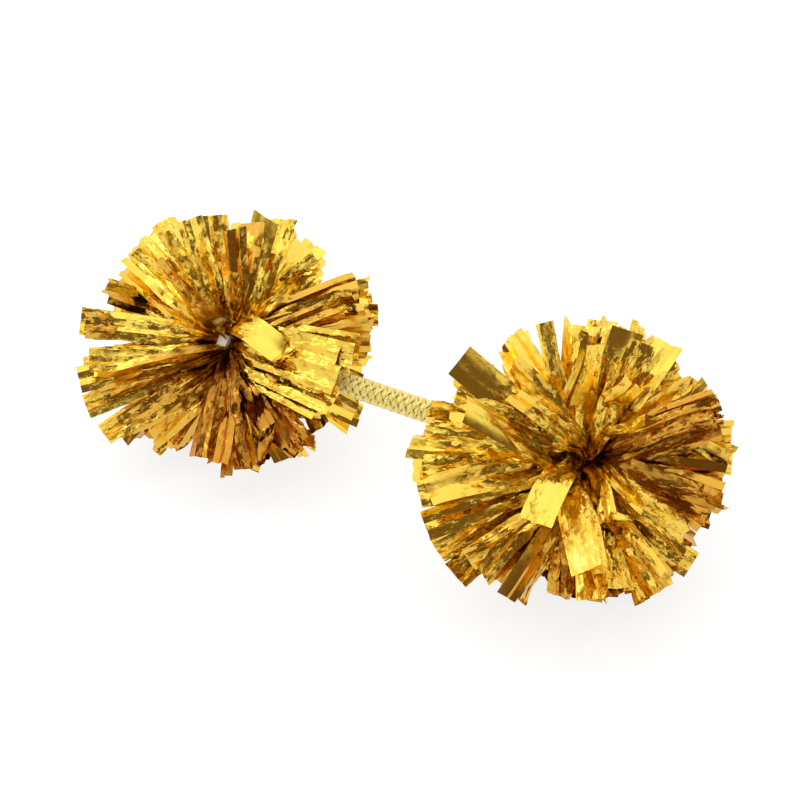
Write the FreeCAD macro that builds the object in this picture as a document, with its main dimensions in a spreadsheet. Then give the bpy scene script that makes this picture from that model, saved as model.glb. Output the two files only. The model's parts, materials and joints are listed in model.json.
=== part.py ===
import FreeCAD, Part
import math
import os
import Sketcher

# A double-headed cheer pom pom: two balls of slit gold film joined by a short braided cord.
# +X runs along the cord to the right head, +Z is up, and the origin is the middle of the footprint.

DIMENSIONS = [
    ("head_spacing", 240.0),     # centre to centre of the two heads
    ("head_radius", 95.0),       # half the width of a head
    ("head_rise", 75.0),         # half the height of a head before its foot is pressed flat
    ("centre_height", 68.0),     # cord axis above the floor
    ("cord_radius", 7.3),        # outside of the braided sleeve
    ("sleeve_bore", 5.6),        # inside radius of the sleeve
    ("core_radius", 5.4),        # filler cord in the sleeve
    ("socket_radius", 7.6),      # hollow end of a cord segment, round the ball end of the next
    ("lift_pivot", 10.0),        # where the cord bends up and down, from its middle
    ("sway_pivot", 22.0),        # where the cord bends sideways, from its middle
    ("cord_tail", 27.0),         # cord beyond the head's centre
    ("film_layers", 8.0),        # slit film sheets gathered in one head
    ("band_radius", 7.6),        # inside of the innermost uncut film band
    ("band_step", 0.45),         # thickness of one gathered band
    ("band_half", 4.0),          # half the width of the uncut band
    ("band_gap", 0.05),          # clearance on each face of a band
    ("skirt_gap", 0.2),          # clearance on each face of a skirt, in degrees
    ("skirt_reach", 140.0),      # length of a skirt's outline before it is trimmed to the ball
    ("crimp_start", 16.0),       # crimp cap on the cord end, from the head's centre
    ("crimp_length", 12.3),
    ("crimp_bore", 7.4),
    ("crimp_radius", 8.7),
    ("crimp_end_wall", 1.1),
    ("crimp_pocket_gap", 0.3),   # room round the crimp cap in the innermost film
    ("tie_gap", 0.1),            # between the outermost band and the tie
    ("tie_thickness", 1.3),
    ("tie_width", 4.8),
    ("lock_width", 7.0),         # lock head of the tie, along the cord
    ("lock_length", 8.0),        # lock head, round the tie
    ("lock_rise", 5.0),          # lock head, outwards
    ("left_lock_turn", 43.0),    # where the lock head sits round the cord, in degrees
    ("right_lock_turn", 160.0),
]

doc = FreeCAD.newDocument("cheer_pom_pom")
sheet = doc.addObject("Spreadsheet::Sheet", "dims")
for row, (alias, value) in enumerate(DIMENSIONS, start=1):
    sheet.set(f"A{row}", alias)
    sheet.set(f"B{row}", str(value))
    sheet.setAlias(f"B{row}", alias)
doc.recompute()

nodes = []


def size(alias):
    return float(sheet.get(alias))


def cell(alias):
    return f"dims.{alias}"


def evaluate(expression):
    """The number that an expression over the sheet gives now, used to draw a sketch near its final shape."""
    result = sheet.evalExpression(expression)
    return float(getattr(result, "Value", result))


def origin_plane(body, role):
    return next(plane for plane in body.Origin.OriginFeatures if plane.Role == role)


def new_sketch(body, name, role):
    sketch = body.newObject("Sketcher::SketchObject", name)
    sketch.AttachmentSupport = [(origin_plane(body, role), "")]
    sketch.MapMode = "FlatFace"
    return sketch


def bind_point(sketch, edge, end, along, up):
    """Hold one end of an edge at two expressions, measured from the sketch's origin."""
    for kind, expression in (("DistanceX", along), ("DistanceY", up)):
        index = sketch.addConstraint(Sketcher.Constraint(kind, -1, 1, edge, end, evaluate(expression)))
        sketch.setExpression(f"Constraints[{index}]", expression)


def draw_outline(sketch, corners):
    """A closed outline whose corners are pairs of expressions over the sheet."""
    points = [FreeCAD.Vector(evaluate(along), evaluate(up), 0) for along, up in corners]
    following = points[1:] + points[:1]
    for start, end in zip(points, following):
        sketch.addGeometry(Part.LineSegment(start, end), False)
    count = len(points)
    for edge in range(count):
        sketch.addConstraint(Sketcher.Constraint("Coincident", edge, 2, (edge + 1) % count, 1))
    for edge, (along, up) in enumerate(corners):
        bind_point(sketch, edge, 1, along, up)


def turn_about_cord(body, sketch, name):
    """Revolve a sketch on the XZ plane about the cord's axis."""
    revolution = body.newObject("PartDesign::Revolution", name)
    revolution.Profile = sketch
    revolution.ReferenceAxis = (sketch, ["H_Axis"])
    revolution.Angle = 360.0
    return revolution


def turned_body(name, corners):
    body = doc.addObject("PartDesign::Body", name)
    sketch = new_sketch(body, f"{name}_outline", "XZ_Plane")
    draw_outline(sketch, corners)
    turn_about_cord(body, sketch, f"{name}_turned")
    return body


def place(node, label, along, turned, up="centre_height"):
    """Name a finished sub-part and stand it at its place; turned pieces belong to the left end."""
    node.Label = label
    half_turn = 180.0 if turned else 0.0
    node.Placement = FreeCAD.Placement(
        FreeCAD.Vector(0, 0, 0), FreeCAD.Rotation(FreeCAD.Vector(0, 0, 1), half_turn)
    )
    sign = "-" if turned else ""
    node.setExpression(".Placement.Base.x", f"{sign}{along}")
    node.setExpression(".Placement.Base.z", cell(up))
    nodes.append(node)


# ---------------------------------------------------------------- cord segments

def bind_arc_centre(sketch, arc, centre):
    """Hold an arc's centre on the cord's axis, at an expression."""
    sketch.addConstraint(Sketcher.Constraint("PointOnObject", arc, 3, -1))
    index = sketch.addConstraint(Sketcher.Constraint("DistanceX", -1, 1, arc, 3, evaluate(centre)))
    sketch.setExpression(f"Constraints[{index}]", centre)


def draw_end(sketch, kind, pivot, outwards):
    """The rounded or hollow end of a cord segment; outwards is 1 at its far end and -1 at its near end.

    Returns the edge, its rim point's number and its axis point's number.
    """
    pivot_x = evaluate(pivot)
    up = FreeCAD.Vector(0, 0, 1)
    radius = size("cord_radius")
    if kind == "square":
        rim = FreeCAD.Vector(pivot_x, radius, 0)
        edge = sketch.addGeometry(Part.LineSegment(rim, FreeCAD.Vector(pivot_x, 0, 0)), False)
        sketch.addConstraint(Sketcher.Constraint("Vertical", edge))
        return edge, 1, 2
    if kind == "ball":
        circle = Part.Circle(FreeCAD.Vector(pivot_x, 0, 0), up, radius)
        if outwards > 0:
            edge = sketch.addGeometry(Part.ArcOfCircle(circle, 0, math.pi / 2), False)
            bind_arc_centre(sketch, edge, pivot)
            return edge, 2, 1
        edge = sketch.addGeometry(Part.ArcOfCircle(circle, math.pi / 2, math.pi), False)
        bind_arc_centre(sketch, edge, pivot)
        return edge, 1, 2
    hollow = size("socket_radius")
    circle = Part.Circle(FreeCAD.Vector(pivot_x, 0, 0), up, hollow)
    edge = sketch.addGeometry(Part.ArcOfCircle(circle, 0, math.asin(radius / hollow)), False)
    bind_arc_centre(sketch, edge, pivot)
    index = sketch.addConstraint(Sketcher.Constraint("Radius", edge, hollow))
    sketch.setExpression(f"Constraints[{index}]", cell("socket_radius"))
    return edge, 2, 1


def end_point(sketch, edge, number):
    return sketch.Geometry[edge].StartPoint if number == 1 else sketch.Geometry[edge].EndPoint


def cord_outline(body, name, near_kind, near, far_kind, far):
    """Half section of a cord segment between two ends, each a socket, a ball or a square cut."""
    sketch = new_sketch(body, name, "XZ_Plane")
    near_edge, near_rim, near_axis = draw_end(sketch, near_kind, near, -1)
    far_edge, far_rim, far_axis = draw_end(sketch, far_kind, far, 1)
    top = sketch.addGeometry(
        Part.LineSegment(end_point(sketch, near_edge, near_rim), end_point(sketch, far_edge, far_rim)), False
    )
    axis = sketch.addGeometry(
        Part.LineSegment(end_point(sketch, near_edge, near_axis), end_point(sketch, far_edge, far_axis)), False
    )
    sketch.addConstraint(Sketcher.Constraint("Coincident", top, 1, near_edge, near_rim))
    sketch.addConstraint(Sketcher.Constraint("Coincident", top, 2, far_edge, far_rim))
    sketch.addConstraint(Sketcher.Constraint("Coincident", axis, 1, near_edge, near_axis))
    sketch.addConstraint(Sketcher.Constraint("Coincident", axis, 2, far_edge, far_axis))
    sketch.addConstraint(Sketcher.Constraint("PointOnObject", axis, 1, -1))
    sketch.addConstraint(Sketcher.Constraint("PointOnObject", axis, 2, -1))
    sketch.addConstraint(Sketcher.Constraint("Horizontal", top))
    bind_point(sketch, top, 2, far, cell("cord_radius"))
    if near_kind == "ball":
        index = sketch.addConstraint(Sketcher.Constraint("DistanceX", -1, 1, top, 1, evaluate(near)))
        sketch.setExpression(f"Constraints[{index}]", near)
    return sketch


def cord_envelope(name, near_kind, near, far_kind, far):
    """Solid cord segment, sleeve and core together."""
    body = doc.addObject("PartDesign::Body", name)
    sketch = cord_outline(body, f"{name}_outline", near_kind, near, far_kind, far)
    turn_about_cord(body, sketch, f"{name}_turned")
    return body


def cord_rod(name, radius):
    """A plain rod along the whole cord, used to divide a segment into sleeve and core."""
    rod = doc.addObject("Part::Cylinder", name)
    rod.Placement = FreeCAD.Placement(
        FreeCAD.Vector(0, 0, 0), FreeCAD.Rotation(FreeCAD.Vector(0, 1, 0), 90.0)
    )
    rod.setExpression("Radius", cell(radius))
    rod.setExpression("Height", f"{cell('head_spacing')} * 2")
    rod.setExpression(".Placement.Base.x", f"-{cell('head_spacing')}")
    return rod


def cord_pair(envelope, sleeve_label, core_label, turned):
    """The braided sleeve and the filler core of one cord segment."""
    sleeve = doc.addObject("Part::Cut", sleeve_label)
    sleeve.Base = envelope
    sleeve.Tool = bore_rod
    core = doc.addObject("Part::Common", core_label)
    core.Base = envelope
    core.Tool = core_rod
    place(sleeve, sleeve_label, "0", turned)
    place(core, core_label, "0", turned)


# ---------------------------------------------------------------- film layers

def skirt_ray(side, radius, angle):
    """Far end of a skirt's face: it leaves the band's edge at an angle from the cord's axis."""
    along = f"{side} * ({cell('band_half')} + {cell('skirt_reach')} * cos({angle}))"
    up = f"{radius} + {cell('skirt_reach')} * sin({angle})"
    return along, up


def layer_corners(layer):
    """Half section of one film layer: its uncut band, and a skirt of strands on each side of it.

    The skirts divide the ball into equal shares of its surface, since every sheet has as many strands.
    """
    inner_radius = f"{cell('band_radius')} + {layer - 1} * {cell('band_step')} + {cell('band_gap')}"
    outer_radius = f"{cell('band_radius')} + {layer} * {cell('band_step')} - {cell('band_gap')}"
    inner_angle = f"(acos(1 - {layer - 1} / {cell('film_layers')}) + {cell('skirt_gap')} * 1 deg)"
    outer_angle = f"(acos(1 - {layer} / {cell('film_layers')}) - {cell('skirt_gap')} * 1 deg)"
    band = cell("band_half")
    outside = [
        skirt_ray(1, outer_radius, outer_angle),
        (band, outer_radius),
        (f"-{band}", outer_radius),
        skirt_ray(-1, outer_radius, outer_angle),
    ]
    if layer > 1:
        return outside + [
            skirt_ray(-1, inner_radius, inner_angle),
            (f"-{band}", inner_radius),
            (band, inner_radius),
            skirt_ray(1, inner_radius, inner_angle),
        ]
    # The innermost layer lies along the cord, leaves a pocket for the crimp cap and closes over it.
    gap = cell("crimp_pocket_gap")
    pocket_start = f"{cell('crimp_start')} - {gap}"
    pocket_end = f"{cell('crimp_start')} + {cell('crimp_length')} + {gap}"
    pocket_radius = f"{cell('crimp_radius')} + {gap}"
    return outside + [
        (f"-{cell('skirt_reach')}", inner_radius),
        (pocket_start, inner_radius),
        (pocket_start, pocket_radius),
        (pocket_end, pocket_radius),
        (pocket_end, "0"),
        (cell("skirt_reach"), "0"),
    ]


def ball_envelope():
    """Outer shape of a head: an ellipsoid, wider than high, pressed flat where it stands."""
    ball = doc.addObject("Part::Ellipsoid", "head_ball")
    ball.setExpression("Radius1", cell("head_rise"))
    ball.setExpression("Radius2", cell("head_radius"))
    ball.setExpression("Radius3", cell("head_radius"))
    above_floor = doc.addObject("Part::Box", "space_above_floor")
    for side_length in ("Length", "Width", "Height"):
        above_floor.setExpression(side_length, f"{cell('skirt_reach')} * 2")
    above_floor.setExpression(".Placement.Base.x", f"-{cell('skirt_reach')}")
    above_floor.setExpression(".Placement.Base.y", f"-{cell('skirt_reach')}")
    above_floor.setExpression(".Placement.Base.z", f"-{cell('centre_height')}")
    standing = doc.addObject("Part::Common", "head_envelope")
    standing.Base = ball
    standing.Tool = above_floor
    return standing


def film_layer(side, turned, layer, ball):
    section = turned_body(f"{side}_section_{layer}", layer_corners(layer))
    film = doc.addObject("Part::Common", f"{side}_foil_layer_{layer}")
    film.Base = section
    film.Tool = ball
    place(film, f"{side}_foil_layer_{layer}", f"{cell('head_spacing')} / 2", turned)


# ---------------------------------------------------------------- fastenings

def crimp_cap(side, turned):
    """A cup pressed over the cord's end, so that the braid neither frays nor slips out of the tie."""
    start = cell("crimp_start")
    end = f"{start} + {cell('crimp_length')}"
    wall_start = f"{end} - {cell('crimp_end_wall')}"
    body = turned_body(f"{side}_crimp_cap", [
        (start, cell("crimp_bore")),
        (start, cell("crimp_radius")),
        (end, cell("crimp_radius")),
        (end, "0"),
        (wall_start, "0"),
        (wall_start, cell("crimp_bore")),
    ])
    place(body, f"{side}_crimp_cap", f"{cell('head_spacing')} / 2", turned)


def cable_tie(side, turned):
    """A toothed strap pulled tight round the bands, with its square lock head."""
    inner = f"{cell('band_radius')} + {cell('film_layers')} * {cell('band_step')} + {cell('tie_gap')}"
    outer = f"{inner} + {cell('tie_thickness')}"
    half_width = f"{cell('tie_width')} / 2"
    body = turned_body(f"{side}_cable_tie", [
        (f"-{half_width}", inner),
        (half_width, inner),
        (half_width, outer),
        (f"-{half_width}", outer),
    ])
    lock = new_sketch(body, f"{side}_lock_outline", "XY_Plane")
    half_lock = f"{cell('lock_width')} / 2"
    half_length = f"{cell('lock_length')} / 2"
    draw_outline(lock, [
        (f"-{half_lock}", f"-{half_length}"),
        (half_lock, f"-{half_length}"),
        (half_lock, half_length),
        (f"-{half_lock}", half_length),
    ])
    lock.setExpression(".AttachmentOffset.Base.z", f"{inner} + {cell('tie_thickness')} / 2")
    pad = body.newObject("PartDesign::Pad", f"{side}_lock_head")
    pad.Profile = lock
    pad.setExpression("Length", cell("lock_rise"))
    place(body, f"{side}_cable_tie", f"{cell('head_spacing')} / 2", turned)
    return body


def turn_tie(body, side, turned):
    """Turn a placed tie about the cord, so that its lock head faces where it was pulled tight."""
    about_cord = FreeCAD.Rotation(FreeCAD.Vector(1, 0, 0), size(f"{side}_lock_turn"))
    half_turn = FreeCAD.Rotation(FreeCAD.Vector(0, 0, 1), 180.0 if turned else 0.0)
    body.Placement.Rotation = about_cord.multiply(half_turn)


# ---------------------------------------------------------------- assembly

bore_rod = cord_rod("bore_rod", "sleeve_bore")
core_rod = cord_rod("core_rod", "core_radius")
lift = cell("lift_pivot")
sway = cell("sway_pivot")
cord_end = f"{cell('head_spacing')} / 2 + {cell('cord_tail')}"
middle_envelope = cord_envelope("middle_envelope", "ball", f"-{lift}", "ball", lift)
link_envelope = cord_envelope("link_envelope", "socket", lift, "ball", sway)
end_envelope = cord_envelope("end_envelope", "socket", sway, "square", cord_end)
head_ball = ball_envelope()

cord_pair(middle_envelope, "middle_sleeve", "middle_core", False)
for side, turned in (("left", True), ("right", False)):
    cord_pair(link_envelope, f"{side}_link_sleeve", f"{side}_link_core", turned)
    cord_pair(end_envelope, f"{side}_end_sleeve", f"{side}_end_core", turned)
    crimp_cap(side, turned)
    turn_tie(cable_tie(side, turned), side, turned)
    for layer in range(1, int(size("film_layers")) + 1):
        film_layer(side, turned, layer, head_ball)

doc.recompute()

for item in doc.Objects:
    if "Invalid" in item.State or "Error" in item.State:
        raise RuntimeError(f"{item.Name} did not recompute: {item.State}")

os.makedirs("parts", exist_ok=True)
for node in nodes:
    if node.Shape.isNull() or not node.Shape.isValid():
        raise RuntimeError(f"{node.Label} has no valid shape")
    node.Shape.exportStep(f"parts/{node.Label}.step")
    print(f"{node.Label}: {len(node.Shape.Solids)} solid, {node.Shape.Volume:.1f} mm3")
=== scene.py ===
import json
import math

import bmesh
import bpy
import numpy as np
from mathutils import Matrix, Vector


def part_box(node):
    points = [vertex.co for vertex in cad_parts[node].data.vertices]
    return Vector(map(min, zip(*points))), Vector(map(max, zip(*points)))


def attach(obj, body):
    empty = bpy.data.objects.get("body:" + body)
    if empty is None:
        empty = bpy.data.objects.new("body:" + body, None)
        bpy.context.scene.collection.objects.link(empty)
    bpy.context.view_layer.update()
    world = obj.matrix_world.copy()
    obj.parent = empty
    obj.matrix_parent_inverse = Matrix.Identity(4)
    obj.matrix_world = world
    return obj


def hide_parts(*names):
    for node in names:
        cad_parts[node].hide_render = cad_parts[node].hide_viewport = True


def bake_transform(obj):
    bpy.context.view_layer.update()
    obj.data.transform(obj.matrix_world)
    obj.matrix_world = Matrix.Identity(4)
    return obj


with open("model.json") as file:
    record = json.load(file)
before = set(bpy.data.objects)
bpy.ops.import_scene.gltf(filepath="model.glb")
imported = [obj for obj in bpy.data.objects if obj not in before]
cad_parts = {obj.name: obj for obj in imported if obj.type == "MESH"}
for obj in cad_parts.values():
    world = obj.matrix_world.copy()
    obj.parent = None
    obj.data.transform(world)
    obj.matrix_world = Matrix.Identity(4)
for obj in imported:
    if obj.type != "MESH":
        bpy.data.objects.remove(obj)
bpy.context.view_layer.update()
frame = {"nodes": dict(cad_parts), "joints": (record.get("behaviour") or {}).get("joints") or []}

MM = 0.001
SIDES = {"left": -1.0, "right": 1.0}

# ---------------------------------------------------------------- places, from the frame

cord_low, cord_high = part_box("middle_sleeve")
CORD_Z = (cord_low[2] + cord_high[2]) / 2
CORD_RADIUS = (cord_high[2] - cord_low[2]) / 2
PIVOTS = {joint["name"]: joint["pos_m"] for joint in frame["joints"]}
LIFT_PIVOT = PIVOTS["right_bend_up_down"][0]
SWAY_PIVOT = PIVOTS["right_bend_sideways"][0]
FILM_LAYERS = sum(name.startswith("right_foil_layer_") for name in frame["nodes"])


def head_centre(side):
    low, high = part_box(f"{side}_foil_layer_{FILM_LAYERS}")
    return np.array([(low[0] + high[0]) / 2, 0.0, CORD_Z])


# ---------------------------------------------------------------- small helpers

def unit(vector):
    vector = np.asarray(vector, dtype=float)
    return vector / max(np.linalg.norm(vector), 1e-12)


def compass(azimuth, elevation):
    """Unit vector; azimuth 0 points to -Y and grows towards +X."""
    a, e = math.radians(azimuth), math.radians(elevation)
    return np.array([math.sin(a) * math.cos(e), -math.cos(a) * math.cos(e), math.sin(e)])


def smoothstep(x):
    x = np.clip(x, 0.0, 1.0)
    return x * x * (3 - 2 * x)


def rotate(vector, axis, angle):
    axis = unit(axis)
    return (vector * math.cos(angle) + np.cross(axis, vector) * math.sin(angle)
            + axis * np.dot(axis, vector) * (1 - math.cos(angle)))


NOISE_CELLS = 64
noise_turns = np.random.default_rng(3).uniform(0, 2 * math.pi, (NOISE_CELLS, NOISE_CELLS))
NOISE_GRADIENTS = np.stack([np.cos(noise_turns), np.sin(noise_turns)], axis=-1)


def film_noise(u, v):
    """Smooth gradient noise in the plane of the film, from about -0.7 to 0.7."""
    cell_u, cell_v = np.floor(u).astype(int), np.floor(v).astype(int)
    part_u, part_v = u - cell_u, v - cell_v
    total = 0.0
    ease_u, ease_v = smoothstep(part_u), smoothstep(part_v)
    for step_u in (0, 1):
        for step_v in (0, 1):
            gradient = NOISE_GRADIENTS[(cell_u + step_u) % NOISE_CELLS, (cell_v + step_v) % NOISE_CELLS]
            slope = gradient[..., 0] * (part_u - step_u) + gradient[..., 1] * (part_v - step_v)
            weight = (ease_u if step_u else 1 - ease_u) * (ease_v if step_v else 1 - ease_v)
            total = total + slope * weight
    return total


# ---------------------------------------------------------------- film strands

STRANDS_PER_SKIRT = 24
STRAND_WIDTH = 19.0 * MM
STRAND_LENGTH = 87.0 * MM
BAND_HALF = 4.0 * MM
BAND_RADIUS = CORD_RADIUS + 0.4 * MM
BAND_STEP = 0.45 * MM
ROWS = 50                       # mesh rows along a strand
COLUMNS = 16                    # mesh columns across a strand
FLOOR_CLEARANCE = 0.9 * MM
HEAD_FLATNESS = 0.77            # a resting head is lower than it is wide
BUNDLES = 42                    # locks of strands that lie together in one head
BUNDLE_PULL = 0.68              # how closely a strand follows its lock

# Where each head is parted so that its tied centre shows: azimuth and elevation of the parting, how far
# the strands are pushed back from it, and the gaps between locks, as angles about the parting.
# Each head's amber pair points, rightwards and upwards from the parting, to the side painted with amber
# shade.
HEAD_FORM = {
    "left": {"azimuth": 28.0, "elevation": 40.0, "opening": 64.0, "gaps": [(-42.0, 7.0), (38.0, 4.0)],
             "amber": (-0.5, -0.8), "fullness": 1.02},
    "right": {"azimuth": 28.0, "elevation": 40.0, "opening": 46.0, "gaps": [(92.0, 9.0), (152.0, 5.0)],
              "amber": (0.7, -0.7), "fullness": 1.0},
}
GAP_DEPTH = 115.0               # gaps reach this far round from the parting, in degrees
SIDE_FACED = -0.3               # locks further behind a head's middle than this face the back
LOCK_FACE_SPREAD = 0.38
STRAY_FACES = 0.15              # share of the locks that face any way
# How strongly locks on a head's shaded side are painted amber, as painted shade.
AMBER_SHADE_STRENGTH = 0.95
FLOOR_SOFTENING = 14.0 * MM     # strands turn flat to the floor within this height of it
BAND_FLUTE = 0.12 * MM          # depth of the gathers in the uncut band


def parting_frame(side):
    """Rightwards, upwards and outwards directions of a head's parting."""
    outwards = compass(HEAD_FORM[side]["azimuth"], HEAD_FORM[side]["elevation"])
    rightwards = unit(np.cross((0, 0, 1), outwards))
    return rightwards, np.cross(outwards, rightwards), outwards


def part_strands(side, direction):
    """Push a direction back from a head's parting and out of its gaps."""
    rightwards, upwards, outwards = parting_frame(side)
    angle = math.acos(float(np.clip(np.dot(direction, outwards), -1, 1)))
    turn = math.atan2(float(np.dot(direction, upwards)), float(np.dot(direction, rightwards)))
    opening = math.radians(HEAD_FORM[side]["opening"])
    angle = opening + (math.pi - opening) * angle / math.pi
    if angle < math.radians(GAP_DEPTH):
        for middle, half in HEAD_FORM[side]["gaps"]:
            middle, half = math.radians(middle), math.radians(half)
            off = (turn - middle + math.pi) % (2 * math.pi) - math.pi
            if abs(off) < 3 * half:
                turn = middle + math.copysign(half + abs(off) * 2 / 3, off)
    ring = rightwards * math.cos(turn) + upwards * math.sin(turn)
    return outwards * math.cos(angle) + ring * math.sin(angle)


def centreline(root, leave, direction, face, strand):
    """Points, tangents and face normals along a strand: it leaves the band, bends to its direction, droops
    under its weight and comes to lie on the floor."""
    step = strand["length"] / ROWS
    squash = np.array([1.0, 1.0, HEAD_FLATNESS])
    point = np.array(root, dtype=float)
    points, tangents, normals = [], [], []
    for row in range(ROWS + 1):
        share = row / ROWS
        blend = float(smoothstep(share * strand["length"] / strand["bend_length"]))
        tangent = unit(leave * (1 - blend) + direction * blend)
        curl = strand["curl"] * share ** 1.5
        if share > strand["kink_at"]:
            curl += strand["kink"]
        tangent = rotate(tangent, np.cross(tangent, face), curl)
        tangent = unit(tangent + np.array([0, 0, -strand["droop"] * share ** 1.6])) * squash
        speed = np.linalg.norm(tangent)
        if point[2] + tangent[2] * step < strand["rest_height"]:
            flat = tangent[:2] if np.linalg.norm(tangent[:2]) > 0.05 else direction[:2]
            flat = unit(np.array([flat[0], flat[1], 0.0]))
            rise = float(np.clip((strand["rest_height"] - point[2]) / step, -0.95, 0.95))
            tangent = (flat * math.sqrt(1 - rise * rise) + np.array([0, 0, rise])) * speed
        travel = tangent * step
        tangent = unit(tangent)
        normal = unit(face - tangent * np.dot(face, tangent))
        normal = rotate(normal, tangent, strand["twist"] * share)
        near_floor = 0.9 * float(smoothstep(1 - (point[2] - strand["rest_height"]) / FLOOR_SOFTENING))
        up = np.array([0, 0, 1.0 if normal[2] >= 0 else -1.0])
        normal = normal * (1 - near_floor) + up * near_floor
        normal = unit(normal - tangent * np.dot(normal, tangent))
        points.append(point)
        tangents.append(tangent)
        normals.append(normal)
        point = point + travel
    return np.array(points), np.array(tangents), np.array(normals)


def pleats(rng, strand, along):
    """Cross-section of a strand from its root to its end: folded together, then opening to its width."""
    panels = strand["panels"]
    shares = rng.uniform(0.6, 1.4, panels)
    edges = np.concatenate([[0.0], np.cumsum(shares)]) / shares.sum() * 2 - 1
    columns = COLUMNS // panels
    across = np.concatenate(
        [np.linspace(edges[i], edges[i + 1], columns, endpoint=False) for i in range(panels)] + [[1.0]]
    )
    lean = np.where(np.repeat(np.arange(panels), columns) % 2 == 0, 1.0, -1.0)
    opened = smoothstep(along / strand["open_length"])
    gathers = film_noise(along / (15 * MM) + strand["phase"], np.full(len(along), strand["phase"] * 1.7))
    spread = strand["root_spread"] + (strand["tip_spread"] - strand["root_spread"]) * opened
    spread = spread * (1 - strand["gathered"] * (0.35 + gathers).clip(0, 1))
    fold = np.arccos(np.clip(spread, 0.02, 0.9999))[:, None]
    piece = np.diff(across)[None, :] * strand["width"] / 2
    x = np.zeros((len(along), len(across)))
    y = np.zeros_like(x)
    x[:, 1:] = np.cumsum(np.cos(fold) * piece, axis=1)
    y[:, 1:] = np.cumsum(np.sin(fold) * lean * piece, axis=1)
    x -= x.mean(axis=1, keepdims=True)
    y -= y.mean(axis=1, keepdims=True)
    y *= smoothstep(0.15 + along / (9 * MM))[:, None]
    bowl = x ** 2 - (x ** 2).mean(axis=1, keepdims=True)
    y += strand["channel"] * bowl / strand["width"] * opened[:, None]
    return x, y, across


def crumple(rng, strand, flat_s, flat_x, calm):
    """Height of the film above its smooth surface: soft waves, crushed ridges and a few straight creases."""
    shift_u, shift_v = rng.uniform(0, NOISE_CELLS, 2)
    height = np.zeros(np.broadcast(flat_s, flat_x).shape)
    for long_pitch, cross_pitch, depth in ((26, 13, 1.4), (11, 6, 1.0), (5.0, 3.0, 0.62)):
        u = flat_s / (long_pitch * MM) + shift_u
        v = flat_x / (cross_pitch * MM) + shift_v
        wave = film_noise(u, v)
        ridge = 0.35 - np.abs(film_noise(u * 1.1 + 17.3, v * 1.1 + 5.1))
        height += depth * MM * (0.45 * wave + 0.75 * ridge)
    for _ in range(3):
        angle = rng.normal(0, 0.5)
        offset = rng.uniform(-0.35, 0.35) * strand["width"]
        middle = rng.uniform(0.3, 0.9) * strand["length"]
        line = (flat_x - offset) * math.cos(angle) - (flat_s - middle) * math.sin(angle)
        reach = np.exp(-((flat_s - middle) / (18 * MM)) ** 2)
        height += rng.uniform(-0.16, 0.16) * np.abs(line) * reach
    start = smoothstep(flat_s / (10 * MM))
    return height * start * strand["crinkle"] * calm


def film_strand(rng, root, leave, direction, face, strand):
    """One slit strand: pleated together at its root, opening to its full width, cut square at its end."""
    points, tangents, normals = centreline(root, leave, direction, face, strand)
    sideways = np.cross(tangents, normals)
    share = np.linspace(0, 1, ROWS + 1)
    along = share * strand["length"]
    x, y, across = pleats(rng, strand, along)
    x = x + (strand["sway"] * np.sin(share * 5.0 + strand["phase"]) * share)[:, None]
    flat_x = across[None, :] * strand["width"] / 2
    flat_s = along[:, None]
    calm = (1 - strand["smooth_tip"] * smoothstep((share - strand["smooth_from"]) / 0.2))[:, None]
    y = y + crumple(rng, strand, flat_s, flat_x, calm)
    grid = points[:, None, :] + sideways[:, None, :] * x[:, :, None] + normals[:, None, :] * y[:, :, None]
    slant = strand["cut"] * flat_x * smoothstep((share[:, None] - 0.8) / 0.2)
    grid = grid + tangents[:, None, :] * slant[:, :, None]
    grid[:, :, 2] = np.maximum(grid[:, :, 2], FLOOR_CLEARANCE)
    # The third film coordinate carries the strand's painted shade.
    coordinates = np.stack([
        np.broadcast_to(flat_s, x.shape), np.broadcast_to(flat_x, x.shape), np.full(x.shape, strand["shade"])
    ], axis=-1)
    crinkled = np.broadcast_to(strand["crinkle"] * (0.15 + 0.85 * calm), x.shape)
    return grid, coordinates, crinkled


def random_strand(rng):
    form = rng.choice(["folded", "creased", "flat"], p=[0.12, 0.58, 0.30])
    spread = {"folded": (0.3, 0.6), "creased": (0.80, 0.97), "flat": (0.985, 0.9985)}[form]
    return {
        "length": STRAND_LENGTH * rng.uniform(0.93, 1.04),
        "width": STRAND_WIDTH * rng.uniform(0.94, 1.02),
        "bend_length": rng.uniform(14, 28) * MM,
        "curl": rng.normal(-0.38, 0.28),
        "kink_at": rng.uniform(0.5, 0.85) if rng.random() < 0.33 else 2.0,
        "kink": rng.normal(0, 0.6),
        "droop": abs(rng.normal(0.14, 0.08)),
        "twist": rng.normal(0, 0.55),
        "panels": 2 if form == "folded" else 4,
        "open_length": rng.uniform(26, 54) * MM,
        "root_spread": rng.uniform(0.10, 0.18),
        "tip_spread": rng.uniform(*spread),
        "channel": rng.normal(0, 0.4),
        "smooth_tip": rng.uniform(0.8, 1.0) if rng.random() < 0.3 else rng.uniform(0, 0.25),
        "smooth_from": rng.uniform(0.45, 0.8),
        "crinkle": rng.uniform(0.6, 1.5),
        "cut": rng.normal(0, 0.10),
        "phase": rng.uniform(0, NOISE_CELLS),
        "gathered": rng.uniform(0.0, 0.3),
        "sway": rng.normal(0, 1.6) * MM,
        "shade": rng.uniform(0.0, 0.12),
        "rest_height": FLOOR_CLEARANCE + rng.uniform(0, 3.5) * MM,
    }


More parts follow.
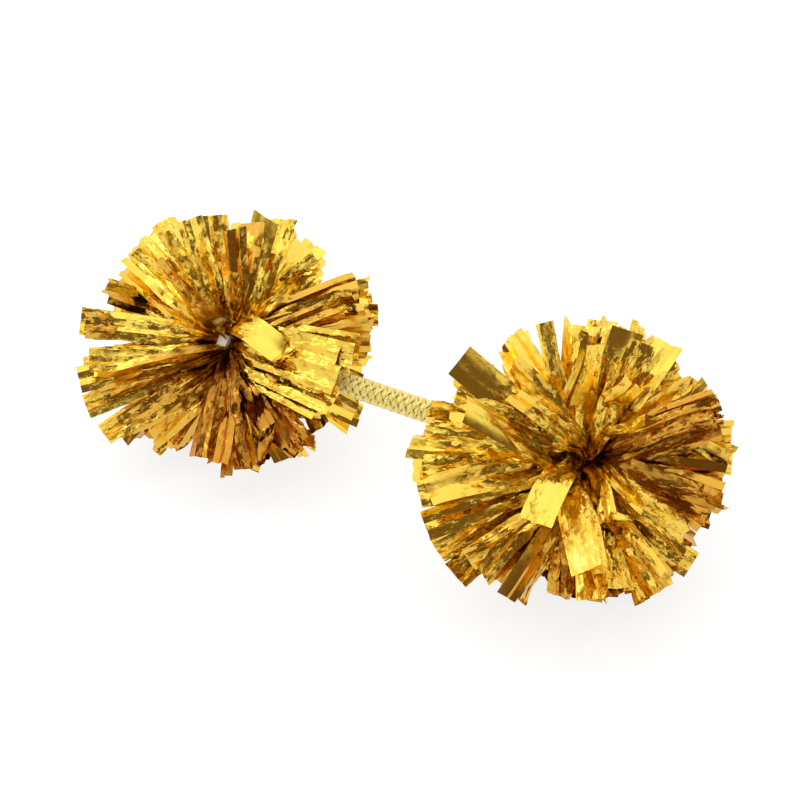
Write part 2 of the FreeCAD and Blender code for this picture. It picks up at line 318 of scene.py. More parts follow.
def smooth_strand(**changes):
    """A strand shaped on purpose: flat and calm unless the changes say otherwise."""
    strand = random_strand(np.random.default_rng(1))
    strand.update({
        "length": STRAND_LENGTH, "width": STRAND_WIDTH, "bend_length": 20 * MM, "curl": 0.0, "kink_at": 2.0,
        "kink": 0.0, "droop": 0.05, "twist": 0.0, "panels": 4, "open_length": 40 * MM, "root_spread": 0.14,
        "tip_spread": 0.9985, "channel": 0.1, "smooth_tip": 0.9, "smooth_from": 0.45, "crinkle": 0.8,
        "cut": 0.0, "phase": 0.0, "gathered": 0.0, "sway": 0.0, "shade": 0.1, "rest_height": FLOOR_CLEARANCE,
    })
    strand.update(changes)
    return strand


def outline_strands(*forms):
    """Crumpled strands that fill out a head's outline: across, along, twist and length of each."""
    return [
        {"direction": (across, along, 0.12), "face": (0.2 * turned, 0.4, 1.0),
         "strand": smooth_strand(length=reach * MM, crinkle=1.3, smooth_tip=0.3, tip_spread=0.93, droop=0.0,
                                 twist=0.2 * turned, phase=10 * across, open_length=32 * MM)}
        for across, along, turned, reach in forms
    ]


# Strands that stand out of the locks. Directions and faces are rightwards, upwards and outwards from the
# parting.
LOOSE_STRANDS = {
    "left": [
        {"direction": (0.46, 0.0, 0.88), "face": (-0.64, 0.72, 0.2),
         "strand": smooth_strand(curl=-1.65, open_length=22 * MM, smooth_from=0.5, length=62 * MM)},
        {"direction": (-0.13, 0.25, 0.96), "face": (0.1, -0.95, 0.3),
         "strand": smooth_strand(curl=-0.35, open_length=20 * MM, length=60 * MM, smooth_from=0.3)},
    ] + outline_strands(
        (-0.95, -0.27, -1, 91), (-0.90, -0.42, 1, 92), (-0.98, 0.16, -2, 90), (-1.0, -0.04, 1, 89),
        (-0.78, -0.62, 2, 92), (-0.10, 0.97, 1, 87), (-0.24, 0.95, -1, 89), (-0.38, 0.92, 2, 88),
    ) + [
        {"direction": (across, along, out), "face": (0.1 * turned, 0.2, 1.0), "root": (0.6, -0.1, 1.0),
         "strand": smooth_strand(length=reach * MM, crinkle=1.2, smooth_tip=0.3, curl=-0.2,
                                 twist=0.2 * turned, open_length=24 * MM, bend_length=14 * MM,
                                 tip_spread=0.97, phase=10 * across, droop=0.0, shade=0.3)}
        for across, along, out, turned, reach in (
            (0.86, -0.28, 0.50, 1, 80), (0.84, -0.40, 0.46, -2, 82), (0.88, -0.16, 0.48, 2, 84),
            (0.87, -0.32, 0.43, -1, 78), (0.85, -0.22, 0.58, 1, 76), (0.82, -0.45, 0.56, -2, 76),
            (0.90, -0.08, 0.46, 3, 84))
    ],
    "right": [
        {"direction": (-0.30, -0.06, 0.95), "face": (0.25, 1.0, 0.3),
         "strand": smooth_strand(curl=-1.2, open_length=26 * MM, smooth_tip=0.2, length=70 * MM,
                                 crinkle=1.1)},
        {"direction": (0.02, -0.36, 0.90), "face": (-0.2, 0.9, 0.5),
         "strand": smooth_strand(curl=-0.7, open_length=34 * MM, smooth_tip=0.1, twist=0.5)},
        {"direction": (0.50, 0.25, 0.80), "face": (-0.5, 0.8, 0.1),
         "strand": smooth_strand(curl=0.2, tip_spread=0.7, panels=2, smooth_tip=0.3, length=70 * MM)},
        {"direction": (-0.74, 0.74, 0.20), "face": (0.05, 0.25, 1.0),
         "strand": smooth_strand(open_length=30 * MM, length=96 * MM, smooth_from=0.6, crinkle=1.0, droop=0.0,
                                 channel=-0.15, width=21 * MM)},
        {"direction": (-0.66, 0.50, 0.50), "face": (0.35, 0.5, 0.8),
         "strand": smooth_strand(open_length=28 * MM, smooth_from=0.3, crinkle=0.8, channel=-0.5)},
        {"direction": (-0.22, 1.05, 0.16), "face": (1.0, 0.2, 0.4),
         "strand": smooth_strand(panels=2, tip_spread=0.22, length=89 * MM, smooth_tip=0.0, droop=0.0)},
        {"direction": (0.07, 0.92, 0.45), "face": (1.0, 0.0, -0.3),
         "strand": smooth_strand(panels=2, tip_spread=0.2, length=88 * MM, smooth_tip=0.0, droop=0.0)},
        {"direction": (0.26, 0.95, 0.22), "face": (-0.1, -0.1, 1.0),
         "strand": smooth_strand(length=87 * MM, smooth_from=0.7, crinkle=1.1, droop=0.0)},
    ] + outline_strands(
        (-0.98, -0.18, 1, 90), (-0.93, -0.36, -1, 91), (-0.85, -0.52, 2, 91), (-0.72, -0.69, -1, 92),
        (0.99, 0.02, 1, 87), (0.98, -0.16, -2, 88), (0.80, -0.58, 1, 89), (-0.86, 0.48, 1, 90),
    ),
}


def sphere_points(count, rng, jitter):
    """Nearly even directions over a sphere."""
    golden = math.pi * (3 - math.sqrt(5))
    points = []
    for index in range(count):
        height = 1 - 2 * (index + 0.5) / count
        ring = math.sqrt(1 - height * height)
        point = np.array([height, ring * math.cos(golden * index), ring * math.sin(golden * index)])
        points.append(unit(point + rng.normal(0, jitter, 3)))
    return np.array(points)


def shaded_side(side):
    """Direction towards the part of a head where the film is painted darkest amber, as painted shade."""
    rightwards, upwards, outwards = parting_frame(side)
    across, along = HEAD_FORM[side]["amber"]
    return unit(rightwards * across + upwards * along + outwards * 0.3)


def head_locks(side):
    """The locks of a head: directions before parting, the way their strands face, lengths and painted shades.
    """
    rng = np.random.default_rng([7, int(SIDES[side] > 0)])
    _, _, outwards = parting_frame(side)
    backwards = compass(HEAD_FORM[side]["azimuth"] + 180.0, 35.0)
    directions = sphere_points(BUNDLES, rng, 0.10)
    faces = []
    for direction in directions:
        side_faced = outwards if float(np.dot(direction, outwards)) > SIDE_FACED else backwards
        if rng.random() < 1 - STRAY_FACES:
            faces.append(side_faced + rng.normal(0, LOCK_FACE_SPREAD, 3))
        else:
            faces.append(rng.normal(0, 1, 3))
    lengths = rng.uniform(0.93, 1.04, BUNDLES)
    # Painted shade: locks towards a head's shaded side, and a few at random, are mixed towards amber.
    shades = AMBER_SHADE_STRENGTH * np.clip(directions @ shaded_side(side) + rng.normal(0, 0.35, BUNDLES), 0, 1)
    return directions, np.array(faces), lengths, shades


def skirt_direction(polar, outward, around):
    """Direction at a polar angle from the cord and an angle round it."""
    return np.array([outward * math.cos(polar), math.sin(polar) * math.sin(around),
                     math.sin(polar) * math.cos(around)])


def layer_strands(side, layer, locks):
    """Root, first direction, final direction, face and form of every strand of a layer."""
    rng = np.random.default_rng([11, int(SIDES[side] > 0), layer])
    centre = head_centre(side)
    radius = BAND_RADIUS + (layer - 0.5) * BAND_STEP
    polar = math.acos(1 - (layer - 0.5) / FILM_LAYERS)
    strands = []
    for outward in (-1.0, 1.0):
        for index in range(STRANDS_PER_SKIRT):
            around = 2 * math.pi * (index + 0.618 * layer) / STRANDS_PER_SKIRT
            root = centre + np.array(
                [outward * BAND_HALF, radius * math.sin(around), radius * math.cos(around)])
            leave = skirt_direction(polar, outward, around)
            nearest = int(np.argmax(locks[0] @ leave))
            direction = unit(BUNDLE_PULL * locks[0][nearest] + (1 - BUNDLE_PULL) * leave
                             + rng.normal(0, 0.05, 3))
            direction = part_strands(side, direction)
            face = locks[1][nearest] + rng.normal(0, 0.16, 3)
            first = unit(leave + 3 * part_strands(side, leave))
            strand = random_strand(rng)
            strand["length"] *= locks[2][nearest] * HEAD_FORM[side]["fullness"]
            strand["shade"] += locks[3][nearest]
            strands.append([root, first, direction, face, strand])
    return strands


def add_loose_strands(side, strands):
    """Give the strands that start nearest the parting the forms of the loose ones."""
    basis = np.array(parting_frame(side))
    free = set(range(len(strands)))
    for loose in LOOSE_STRANDS[side]:
        direction = unit(np.array(loose["direction"]) @ basis)
        if "root" in loose:
            root = unit(np.array(loose["root"]) @ basis)
            chosen = max(free, key=lambda i: float(np.dot(strands[i][0] - head_centre(side), root)))
            strands[chosen][1] = unit(root + direction)
        else:
            chosen = max(free, key=lambda i: float(np.dot(strands[i][1], direction)))
        free.remove(chosen)
        face = np.array(loose["face"]) @ basis
        strands[chosen][2:] = [direction, face, loose["strand"]]


def grid_mesh(name, grids, attributes):
    """One mesh from grids of points, with named per-point attributes given as matching grids."""
    faces, start = [], 0
    for grid in grids:
        rows, columns = grid.shape[:2]
        index = start + np.arange(rows * columns).reshape(rows, columns)
        quads = np.stack([index[:-1, :-1], index[:-1, 1:], index[1:, 1:], index[1:, :-1]], axis=-1)
        faces.append(quads.reshape(-1, 4))
        start += rows * columns
    faces = np.concatenate(faces)
    points = np.concatenate([grid.reshape(-1, 3) for grid in grids])
    mesh = bpy.data.meshes.new(name)
    mesh.vertices.add(len(points))
    mesh.vertices.foreach_set("co", points.astype(np.float32).ravel())
    mesh.loops.add(faces.size)
    mesh.loops.foreach_set("vertex_index", faces.astype(np.int32).ravel())
    mesh.polygons.add(len(faces))
    mesh.polygons.foreach_set("loop_start", np.arange(0, faces.size, 4, dtype=np.int32))
    mesh.polygons.foreach_set("loop_total", np.full(len(faces), 4, dtype=np.int32))
    mesh.update(calc_edges=True)
    for attribute_name, values in attributes.items():
        values = np.concatenate([value.reshape(-1, *value.shape[2:]) for value in values]).astype(np.float32)
        kind, field = ("FLOAT_VECTOR", "vector") if values.ndim == 2 else ("FLOAT", "value")
        mesh.attributes.new(attribute_name, kind, "POINT").data.foreach_set(field, values.ravel())
    return mesh


FILM_SHARP_ANGLE = 30           # degrees; edges that turn by more than this stay sharp
YARN_SHARP_ANGLE = 60
TIE_SHARP_ANGLE = 40


def link_mesh(name, mesh, material, sharp_angle):
    """An object of a mesh, smooth but for its sharp edges, in the scene."""
    mesh.polygons.foreach_set("use_smooth", np.ones(len(mesh.polygons), dtype=bool))
    mesh.set_sharp_from_angle(angle=math.radians(sharp_angle))
    mesh.materials.append(material)
    mesh.validate()
    obj = bpy.data.objects.new(name, mesh)
    bpy.context.scene.collection.objects.link(obj)
    return obj


def band_ring(side, layer):
    """The uncut band of a layer, gathered into fine flutes round the cord."""
    flutes = 4 * STRANDS_PER_SKIRT
    around = np.linspace(0, 2 * math.pi, flutes * 4 + 1)
    radius = BAND_RADIUS + (layer - 0.5) * BAND_STEP + BAND_FLUTE * np.cos(around * flutes)
    centre = head_centre(side)
    grid = np.array([
        np.stack([np.full(len(around), centre[0] + x), centre[1] + radius * np.sin(around),
                  centre[2] + radius * np.cos(around)], axis=-1)
        for x in np.linspace(-BAND_HALF, BAND_HALF, 3)
    ])
    coordinates = np.zeros_like(grid)
    coordinates[..., 1] = around * radius
    return grid, coordinates, np.full(grid.shape[:2], 0.3)


def film_layer(side, layer, locks, material):
    """One slit sheet of film, gathered round the cord: its strands and its uncut band in one mesh."""
    rng = np.random.default_rng([13, int(SIDES[side] > 0), layer])
    strands = layer_strands(side, layer, locks)
    if layer == FILM_LAYERS:
        add_loose_strands(side, strands)
    pieces = [film_strand(rng, *strand) for strand in strands] + [band_ring(side, layer)]
    grids, coordinates, crinkled = zip(*pieces)
    name = f"{side}_film_{layer}"
    mesh = grid_mesh(name, grids, {"film_coord": coordinates, "film_crinkle": crinkled})
    obj = link_mesh(name, mesh, material, FILM_SHARP_ANGLE)
    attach(obj, f"{side}_head")
    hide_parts(f"{side}_foil_layer_{layer}")


# ---------------------------------------------------------------- braided cord

YARNS_EACH_WAY = 6
ENDS_PER_YARN = 5
BRAID_PITCH = 5.3 * MM          # between yarns of one direction, along the cord
YARN_LIFT = 0.42 * MM           # a yarn rises and sinks by this much as it passes over and under
END_HALF_WIDTH = 0.58 * MM
END_HALF_THICKNESS = 0.20 * MM
END_SIDES = 6
STATION_STEP = 0.62 * MM        # between the rings of an end's mesh
END_SPACING = 1.02              # of an end's width
END_WANDER = 0.010              # uneven lay of the ends, in radians
BRAID_CLEARANCE = 0.05 * MM     # inside the sleeve's outer surface


def yarn_end(rng, turn, hand, stations):
    """One thin end of a yarn as a closed flat tube, cut square to the cord at both ends."""
    lead = YARNS_EACH_WAY * BRAID_PITCH
    crossing = BRAID_PITCH / 2
    middle_radius = CORD_RADIUS - YARN_LIFT - END_HALF_THICKNESS - BRAID_CLEARANCE
    wander = rng.normal(0, END_WANDER)
    angle = turn + wander + hand * 2 * math.pi * stations / lead
    radius = middle_radius + hand * YARN_LIFT * np.cos(math.pi * stations / crossing)
    section = np.linspace(0, 2 * math.pi, END_SIDES, endpoint=False)
    side = np.cos(section) * END_HALF_WIDTH / CORD_RADIUS
    rise = np.sin(section) * END_HALF_THICKNESS
    ring_angle = angle[:, None] + side[None, :]
    ring_radius = radius[:, None] + rise[None, :]
    x = np.broadcast_to(stations[:, None], ring_angle.shape)
    return np.stack([x, ring_radius * np.sin(ring_angle), CORD_Z + ring_radius * np.cos(ring_angle)], axis=-1)


def braid(name, first, last, material):
    """A length of the tubular braid between two stations along the cord."""
    rng = np.random.default_rng(17)
    count = max(2, int(round(abs(last - first) / STATION_STEP)))
    stations = np.linspace(first, last, count + 1)
    end_step = 2 * END_HALF_WIDTH * END_SPACING / CORD_RADIUS
    verts, faces, coords = [], [], []
    for hand in (-1.0, 1.0):
        for yarn in range(YARNS_EACH_WAY):
            for end in range(ENDS_PER_YARN):
                turn = 2 * math.pi * yarn / YARNS_EACH_WAY + (end - (ENDS_PER_YARN - 1) / 2) * end_step
                tube = yarn_end(rng, turn, hand, stations)
                start = len(verts)
                verts.extend(tube.reshape(-1, 3))
                for row, station in enumerate(stations):
                    coords.extend([(station, side / END_SIDES, turn + hand) for side in range(END_SIDES)])
                for row in range(count):
                    for side in range(END_SIDES):
                        a = start + row * END_SIDES + side
                        b = start + row * END_SIDES + (side + 1) % END_SIDES
                        faces.append((a, b, b + END_SIDES, a + END_SIDES))
                faces.append(tuple(start + side for side in reversed(range(END_SIDES))))
                faces.append(tuple(start + count * END_SIDES + side for side in range(END_SIDES)))
    mesh = bpy.data.meshes.new(name)
    mesh.from_pydata([tuple(vert) for vert in verts], [], faces)
    mesh.attributes.new("yarn_coord", "FLOAT_VECTOR", "POINT").data.foreach_set(
        "vector", np.array(coords, dtype=np.float32).ravel())
    obj = link_mesh(name, mesh, material, YARN_SHARP_ANGLE)
    return obj


def braided_cord(material):
    """The cord's sleeve, in two lengths on each side of its middle, split halfway between its two joints."""
    seam = (LIFT_PIVOT + SWAY_PIVOT) / 2
    for side, sign in SIDES.items():
        sleeve_low, sleeve_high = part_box(f"{side}_end_sleeve")
        tail = max(abs(sleeve_low[0]), abs(sleeve_high[0]))
        near = braid(f"{side}_braid_near", 0.0, sign * seam, material)
        far = braid(f"{side}_braid_far", sign * seam, sign * tail, material)
        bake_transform(near)
        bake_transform(far)
        replaced = [f"{side}_link_sleeve"] + (["middle_sleeve"] if side == "left" else [])
        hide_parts(*replaced)
        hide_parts(f"{side}_end_sleeve")


# ---------------------------------------------------------------- cable tie

TIE_HALF_WIDTH = 2.4 * MM
TIE_THICKNESS = 1.3 * MM
TIE_TOOTH_PITCH = 1.1 * MM
TIE_TOOTH_HEIGHT = 0.16 * MM
TIE_RADIUS = BAND_RADIUS + FILM_LAYERS * BAND_STEP
LOCK_SIZE = (6.6 * MM, 7.6 * MM, 4.8 * MM)
LOCK_WALL = 1.3 * MM
LOCK_RECESS = 1.1 * MM
LOCK_ROUNDING = 0.45 * MM
LOCK_SEAT = 3.3 * MM            # middle of the lock above the strap's inner face
LOCK_TURN = {"left": 43.0, "right": 160.0}


def tie_strap(side):
    """Ring of strap with its moulded teeth on the outer face and rounded edges."""
    teeth = int(round(2 * math.pi * (TIE_RADIUS + TIE_THICKNESS) / TIE_TOOTH_PITCH))
    around = np.linspace(0, 2 * math.pi, teeth * 4 + 1)
    tooth = TIE_TOOTH_HEIGHT * ((around / (2 * math.pi) * teeth) % 1.0)
    outline = [(-0.85, 0.0), (0.85, 0.0), (1.0, 0.2), (1.0, 0.75), (0.85, 0.9), (0.62, 0.9), (0.58, 1.0),
               (-0.58, 1.0), (-0.62, 0.9), (-0.85, 0.9), (-1.0, 0.75), (-1.0, 0.2), (-0.85, 0.0)]
    centre = head_centre(side)
    rows = []
    for across, share in outline:
        radius = TIE_RADIUS + TIE_THICKNESS * share - (tooth if share == 1.0 else 0)
        rows.append(np.stack([np.full(len(around), centre[0] + across * TIE_HALF_WIDTH),
                              -radius * np.sin(around), radius * np.cos(around)], axis=-1))
    return np.array(rows)


def cable_tie(side, material):
    """A closed cable tie round the gathered bands: the strap, and its lock head with a recessed top."""
    centre = head_centre(side)
    grid = tie_strap(side)
    turn = Matrix.Rotation(math.radians(LOCK_TURN[side]), 3, "X")
    mesh = bpy.data.meshes.new(f"{side}_tie")
    build = bmesh.new()
    rows, columns = grid.shape[:2]
    points = [[build.verts.new(point) for point in row[:-1]] for row in grid[:-1]]
    for row in range(rows - 1):
        for column in range(columns - 1):
            nxt_row, nxt_column = (row + 1) % (rows - 1), (column + 1) % (columns - 1)
            build.faces.new((points[row][column], points[row][nxt_column],
                             points[nxt_row][nxt_column], points[nxt_row][column]))
    lock = bmesh.new()
    bmesh.ops.create_cube(lock, size=1.0)
    bmesh.ops.scale(lock, vec=LOCK_SIZE, verts=lock.verts)
    top = max(lock.faces, key=lambda face: face.calc_center_median().z)
    bmesh.ops.inset_region(lock, faces=[top], thickness=LOCK_WALL)
    bmesh.ops.translate(lock, vec=(0, 0, -LOCK_RECESS), verts=top.verts)
    rims = [edge for edge in lock.edges if edge.is_manifold]
    bmesh.ops.bevel(lock, geom=rims, offset=LOCK_ROUNDING, segments=3, profile=0.5, affect="EDGES")
    bmesh.ops.translate(lock, vec=(centre[0], 0, TIE_RADIUS + LOCK_SEAT), verts=lock.verts)
    lock_mesh = bpy.data.meshes.new("lock")
    lock.to_mesh(lock_mesh)
    build.from_mesh(lock_mesh)
    bpy.data.meshes.remove(lock_mesh)
    lock.free()
    for vert in build.verts:
        spun = turn @ Vector((0, vert.co.y, vert.co.z))
        vert.co = Vector((vert.co.x, spun.y, spun.z + CORD_Z))
    bmesh.ops.recalc_face_normals(build, faces=build.faces)
    build.to_mesh(mesh)
    build.free()
    obj = link_mesh(f"{side}_tie", mesh, material, TIE_SHARP_ANGLE)
    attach(obj, f"{side}_head")
    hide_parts(f"{side}_cable_tie")


# ---------------------------------------------------------------- materials

PALE_GOLD, DEEP_GOLD = (1.0, 0.75, 0.12), (0.98, 0.67, 0.08)
# Painted shade: the amber that strands on a head's shaded side are mixed towards.
AMBER_SHADE = (0.61, 0.275, 0.035)
ROOT_SHADE_BROWN = (0.20, 0.08, 0.015)             # painted shade of the amber strands, darkest near their roots
# Painted root shade: how far from the root it reaches, and its share at the root.
ROOT_SHADE_REACH, ROOT_SHADE_SHARE = 60.0 * MM, 0.9
FILM_ROUGHNESS = (0.12, 0.26)
CRUSH = [                       # facets of crushed film: scale, tilt and waver, from large to small
    ((150.0, 360.0, 40.0), 0.40, 2.2),
    ((380.0, 640.0, 60.0), 0.20, 1.4),
]
PALE_YARN, DEEP_YARN = (1.0, 0.90, 0.36), (1.0, 0.76, 0.17)
YARN_ROUGHNESS = (0.22, 0.4)
YARN_METALLIC = 0.68


def new_material(name):
    """A material with one shader, and that shader."""
    material = bpy.data.materials.new(name)
    material.use_nodes = True
    nodes = material.node_tree.nodes
    nodes.clear()
    output = nodes.new("ShaderNodeOutputMaterial")
    shader = nodes.new("ShaderNodeBsdfPrincipled")
    material.node_tree.links.new(shader.outputs["BSDF"], output.inputs["Surface"])
    return material, shader


def add_node(tree, kind, operation=None, **inputs):
    """A shader node with some of its inputs set."""
    node = tree.nodes.new(kind)
    if operation:
        node.operation = operation
    for name, value in inputs.items():
        node.inputs[name.replace("_", " ")].default_value = value
    return node


def colour_ramp(tree, stops):
    """A colour ramp from positions and colours."""
    ramp = tree.nodes.new("ShaderNodeValToRGB")
    while len(ramp.color_ramp.elements) < len(stops):
        ramp.color_ramp.elements.new(0.5)
    for element, (position, colour) in zip(ramp.color_ramp.elements, stops):
        element.position = position
        element.color = (*colour, 1.0)
    return ramp


def stretched(tree, attribute, scale):
    """Coordinates that lie in the material, from a mesh attribute, stretched by a scale."""
    source = tree.nodes.new("ShaderNodeAttribute")
    source.attribute_name = attribute
    mapping = add_node(tree, "ShaderNodeMapping", Scale=scale)
    tree.links.new(source.outputs["Vector"], mapping.inputs["Vector"])
    return mapping.outputs["Vector"]


def crushed_normal(tree, attribute, layers):
    """Surface direction of crushed film: small flat facets, each tilted its own way, in several sizes."""
    links = tree.links
    strength = tree.nodes.new("ShaderNodeAttribute")
    strength.attribute_name = "film_crinkle"
    geometry = tree.nodes.new("ShaderNodeNewGeometry")
    direction = geometry.outputs["Normal"]
    for scale, tilt, wander in layers:
        where = stretched(tree, attribute, scale)
        waver = add_node(tree, "ShaderNodeTexNoise", Scale=0.6, Detail=2.0)
        links.new(where, waver.inputs["Vector"])
        bent = add_node(tree, "ShaderNodeVectorMath", "MULTIPLY_ADD")
        bent.inputs[1].default_value = (wander, wander, 0.0)
        links.new(waver.outputs["Color"], bent.inputs[0])
        links.new(where, bent.inputs[2])
        facets = add_node(tree, "ShaderNodeTexVoronoi", Scale=1.0)
        links.new(bent.outputs["Vector"], facets.inputs["Vector"])
        centred = add_node(tree, "ShaderNodeVectorMath", "SUBTRACT")
        centred.inputs[1].default_value = (0.5, 0.5, 0.5)
        links.new(facets.outputs["Color"], centred.inputs[0])
        amount = add_node(tree, "ShaderNodeMath", "MULTIPLY")
        amount.inputs[1].default_value = tilt
        links.new(strength.outputs["Fac"], amount.inputs[0])
        lean = add_node(tree, "ShaderNodeVectorMath", "SCALE")
        links.new(centred.outputs["Vector"], lean.inputs[0])
        links.new(amount.outputs[0], lean.inputs["Scale"])
        summed = add_node(tree, "ShaderNodeVectorMath", "ADD")
        links.new(direction, summed.inputs[0])
        links.new(lean.outputs["Vector"], summed.inputs[1])
        direction = summed.outputs["Vector"]
    level = add_node(tree, "ShaderNodeVectorMath", "NORMALIZE")
    links.new(direction, level.inputs[0])
    return level.outputs["Vector"], strength


def gold_film():
    """Metallised film: mirror gold with fine crush marks, a little clouding and uneven gloss, and painted
    amber and deep brown shade on the shaded strands, darkest near their roots.
    """
    material, shader = new_material("gold_film")
    tree = material.node_tree
    links = tree.links
    shader.inputs["Metallic"].default_value = 1.0
    normal, crinkle = crushed_normal(tree, "film_coord", CRUSH)
    film = stretched(tree, "film_coord", (300.0, 700.0, 40.0))
    folds = add_node(tree, "ShaderNodeTexNoise", Scale=0.8, Detail=3.0, Distortion=0.8)
    links.new(film, folds.inputs["Vector"])
    weighted = add_node(tree, "ShaderNodeMath", "MULTIPLY")
    links.new(folds.outputs["Fac"], weighted.inputs[0])
    links.new(crinkle.outputs["Fac"], weighted.inputs[1])
    bump = add_node(tree, "ShaderNodeBump", Strength=0.32, Distance=0.0006)
    links.new(weighted.outputs[0], bump.inputs["Height"])
    links.new(normal, bump.inputs["Normal"])
    links.new(bump.outputs["Normal"], shader.inputs["Normal"])

    clouds = add_node(tree, "ShaderNodeTexNoise", Scale=0.14, Detail=2.0)
    links.new(film, clouds.inputs["Vector"])
    tint = colour_ramp(tree, [(0.3, DEEP_GOLD), (0.7, PALE_GOLD)])
    links.new(clouds.outputs["Fac"], tint.inputs["Fac"])
    place = tree.nodes.new("ShaderNodeAttribute")
    place.attribute_name = "film_coord"
    parts = tree.nodes.new("ShaderNodeSeparateXYZ")
    links.new(place.outputs["Vector"], parts.inputs["Vector"])
    # Painted shade: each strand's shade value mixes the gold towards amber.
    amber = tree.nodes.new("ShaderNodeMix")
    amber.data_type = "RGBA"
    amber.inputs["B"].default_value = (*AMBER_SHADE, 1.0)
    links.new(parts.outputs["Z"], amber.inputs["Factor"])
    links.new(tint.outputs["Color"], amber.inputs["A"])
    # Painted shade: shaded strands darken further to deep brown near their roots.
    near_root = add_node(tree, "ShaderNodeMapRange", From_Max=ROOT_SHADE_REACH, To_Min=ROOT_SHADE_SHARE, To_Max=0.0)
    links.new(parts.outputs["X"], near_root.inputs["Value"])
    depth = add_node(tree, "ShaderNodeMath", "MULTIPLY")
    links.new(near_root.outputs["Result"], depth.inputs[0])
    links.new(parts.outputs["Z"], depth.inputs[1])
    brown = tree.nodes.new("ShaderNodeMix")
    brown.data_type = "RGBA"
    brown.inputs["B"].default_value = (*ROOT_SHADE_BROWN, 1.0)
    links.new(depth.outputs[0], brown.inputs["Factor"])
    links.new(amber.outputs["Result"], brown.inputs["A"])
    links.new(brown.outputs["Result"], shader.inputs["Base Color"])
    rough = add_node(tree, "ShaderNodeMapRange", To_Min=FILM_ROUGHNESS[0], To_Max=FILM_ROUGHNESS[1])
    links.new(folds.outputs["Fac"], rough.inputs["Value"])
    links.new(rough.outputs["Result"], shader.inputs["Roughness"])
    return material


def gold_yarn():
    """Flat metallic yarn: paler than the film, with fine filaments along it."""
    material, shader = new_material("gold_yarn")
    tree = material.node_tree
    links = tree.links
    shader.inputs["Metallic"].default_value = YARN_METALLIC
    yarn = stretched(tree, "yarn_coord", (300.0, 14.0, 9.0))
    filaments = add_node(tree, "ShaderNodeTexNoise", Scale=1.0, Detail=3.0)
    links.new(yarn, filaments.inputs["Vector"])
    tint = colour_ramp(tree, [(0.3, DEEP_YARN), (0.65, PALE_YARN)])
    links.new(filaments.outputs["Fac"], tint.inputs["Fac"])
    links.new(tint.outputs["Color"], shader.inputs["Base Color"])
    rough = add_node(tree, "ShaderNodeMapRange", To_Min=YARN_ROUGHNESS[0], To_Max=YARN_ROUGHNESS[1])
    links.new(filaments.outputs["Fac"], rough.inputs["Value"])
    links.new(rough.outputs["Result"], shader.inputs["Roughness"])
    bump = add_node(tree, "ShaderNodeBump", Strength=0.4, Distance=0.0002)
    links.new(filaments.outputs["Fac"], bump.inputs["Height"])
    links.new(bump.outputs["Normal"], shader.inputs["Normal"])
    return material


def plain_detail(name, colours, metallic, roughness, scale, bump_strength):
    """A material for the small inner pieces: mottled colour, uneven gloss and a fine surface."""
    material, shader = new_material(name)
    tree = material.node_tree
    links = tree.links
    shader.inputs["Metallic"].default_value = metallic
    where = tree.nodes.new("ShaderNodeTexCoord")
    mapping = add_node(tree, "ShaderNodeMapping", Scale=scale)
    links.new(where.outputs["Object"], mapping.inputs["Vector"])
    grain = add_node(tree, "ShaderNodeTexNoise", Scale=1.0, Detail=4.0)
    links.new(mapping.outputs["Vector"], grain.inputs["Vector"])
    tint = colour_ramp(tree, [(0.3, colours[0]), (0.7, colours[1])])
    links.new(grain.outputs["Fac"], tint.inputs["Fac"])
    links.new(tint.outputs["Color"], shader.inputs["Base Color"])
    rough = add_node(tree, "ShaderNodeMapRange", To_Min=roughness[0], To_Max=roughness[1])
    links.new(grain.outputs["Fac"], rough.inputs["Value"])
    links.new(rough.outputs["Result"], shader.inputs["Roughness"])
    bump = add_node(tree, "ShaderNodeBump", Strength=bump_strength, Distance=0.0002)
    links.new(grain.outputs["Fac"], bump.inputs["Height"])
    links.new(bump.outputs["Normal"], shader.inputs["Normal"])
    return material, shader


def dress_node(node, material):
    """Give a CAD node that stays visible its material."""
    obj = frame["nodes"][node]
    for slot in obj.material_slots:
        slot.material = material


# ---------------------------------------------------------------- studio

CAMERA_AZIMUTH = 28.0
CAMERA_ELEVATION = 40.0
CAMERA_DISTANCE = 0.97
CAMERA_LENS = 71.0
SENSOR_WIDTH = 36.0
AIM = (0.8 * MM, 1.1 * MM)      # rightwards and upwards of the middle of the cord
FLOOR_SIZE = 60.0
FLOOR_COLOUR = (0.25, 0.25, 0.25, 1)
FLOOR_GLOW = 0.82
BACKDROP_STRENGTH = 1.08
ROOM_OFFSET, ROOM_ELEVATION = 30.0, 14.0     # the dark of the room: degrees past the camera, and up
ROOM_LIGHT = [(0.26, (1.0, 1.0, 1.0)), (0.54, (0.76, 0.70, 0.60)), (0.80, (0.15, 0.095, 0.055))]
LIGHTS = {                      # azimuth, elevation, distance, size and watts
    "overhead": (200.0, 72.0, 1.3, (1.4, 1.4), 1.4),
    "left_bank": (-60.0, 50.0, 1.3, (0.35, 0.45), 1.3),
}


def place_facing(obj, aim, azimuth, elevation, distance):
    """Put a camera or light at a distance from a point, turned to face it."""
    away = compass(azimuth, elevation)
    obj.location = aim + away * distance
    obj.rotation_euler = Vector(-away).to_track_quat("-Z", "Y").to_euler()
    bpy.context.scene.collection.objects.link(obj)


def camera():
    data = bpy.data.cameras.new("camera")
    data.lens = CAMERA_LENS
    data.sensor_width = SENSOR_WIDTH
    obj = bpy.data.objects.new("camera", data)
    away = compass(CAMERA_AZIMUTH, CAMERA_ELEVATION)
    rightwards = unit(np.cross((0, 0, 1), away))
    upwards = np.cross(away, rightwards)
    aim = np.array([0, 0, CORD_Z]) + rightwards * AIM[0] + upwards * AIM[1]
    place_facing(obj, aim, CAMERA_AZIMUTH, CAMERA_ELEVATION, CAMERA_DISTANCE)
    bpy.context.scene.camera = obj


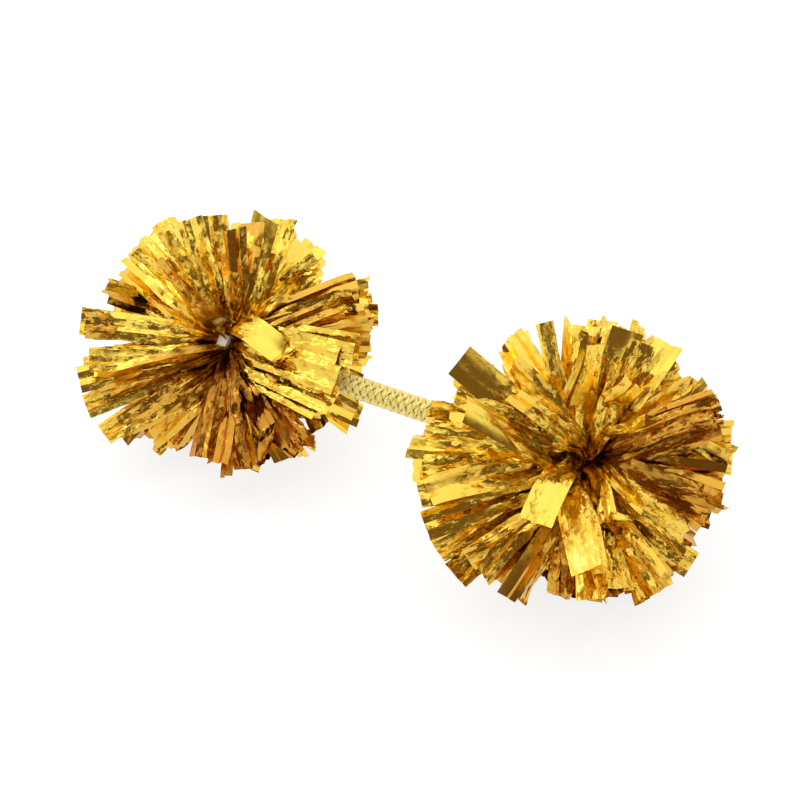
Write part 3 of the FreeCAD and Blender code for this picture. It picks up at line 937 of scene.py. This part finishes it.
def floor():
    bpy.ops.mesh.primitive_plane_add(size=FLOOR_SIZE, location=(0, 0, 0))
    obj = bpy.context.object
    obj.name = "floor"
    material, shader = new_material("white_floor")
    shader.inputs["Base Color"].default_value = FLOOR_COLOUR
    shader.inputs["Roughness"].default_value = 0.6
    shader.inputs["Emission Color"].default_value = (1, 1, 1, 1)
    shader.inputs["Emission Strength"].default_value = FLOOR_GLOW
    obj.data.materials.append(material)


def area_light(name, azimuth, elevation, distance, size, energy):
    data = bpy.data.lights.new(name, "AREA")
    data.shape = "RECTANGLE"
    data.size, data.size_y = size
    data.energy = energy
    obj = bpy.data.objects.new(name, data)
    place_facing(obj, np.array([0, 0, CORD_Z]), azimuth, elevation, distance)


def studio():
    """White backdrop and ceiling, and the dark of the room on the camera's right."""
    world = bpy.data.worlds.new("studio")
    bpy.context.scene.world = world
    world.use_nodes = True
    tree = world.node_tree
    tree.nodes.clear()
    output = tree.nodes.new("ShaderNodeOutputWorld")
    background = add_node(tree, "ShaderNodeBackground", Strength=BACKDROP_STRENGTH)
    tree.links.new(background.outputs["Background"], output.inputs["Surface"])
    where = tree.nodes.new("ShaderNodeTexCoord")
    towards = add_node(tree, "ShaderNodeVectorMath", "DOT_PRODUCT")
    towards.inputs[1].default_value = tuple(compass(CAMERA_AZIMUTH + ROOM_OFFSET, ROOM_ELEVATION))
    tree.links.new(where.outputs["Generated"], towards.inputs[0])
    ramp = colour_ramp(tree, ROOM_LIGHT)
    tree.links.new(towards.outputs["Value"], ramp.inputs["Fac"])
    tree.links.new(ramp.outputs["Color"], background.inputs["Color"])
    for name, form in LIGHTS.items():
        area_light(name, *form)
    bpy.context.scene.view_settings.view_transform = "Standard"


# ---------------------------------------------------------------- assembly

film_material = gold_film()
for side in SIDES:
    locks = head_locks(side)
    for layer in range(1, FILM_LAYERS + 1):
        film_layer(side, layer, locks, film_material)
braided_cord(gold_yarn())
nylon, nylon_shader = plain_detail(
    "white_nylon", colours=((0.86, 0.86, 0.83), (0.93, 0.93, 0.91)), metallic=0.0, roughness=(0.3, 0.45),
    scale=(600.0, 600.0, 600.0), bump_strength=0.15)
nylon_shader.inputs["Subsurface Weight"].default_value = 0.15
nylon_shader.inputs["Subsurface Scale"].default_value = 2 * MM
for side in SIDES:
    cable_tie(side, nylon)
brass, _ = plain_detail(
    "pressed_brass", colours=((0.72, 0.52, 0.20), (0.86, 0.68, 0.32)), metallic=1.0, roughness=(0.22, 0.42),
    scale=(900.0, 120.0, 120.0), bump_strength=0.25)
filler, _ = plain_detail(
    "cotton_filler", colours=((0.62, 0.55, 0.38), (0.80, 0.73, 0.54)), metallic=0.0, roughness=(0.8, 0.95),
    scale=(250.0, 1400.0, 1400.0), bump_strength=0.8)
for side in SIDES:
    dress_node(f"{side}_crimp_cap", brass)
    dress_node(f"{side}_end_core", filler)
    dress_node(f"{side}_link_core", filler)
dress_node("middle_core", filler)

camera()
floor()
studio()
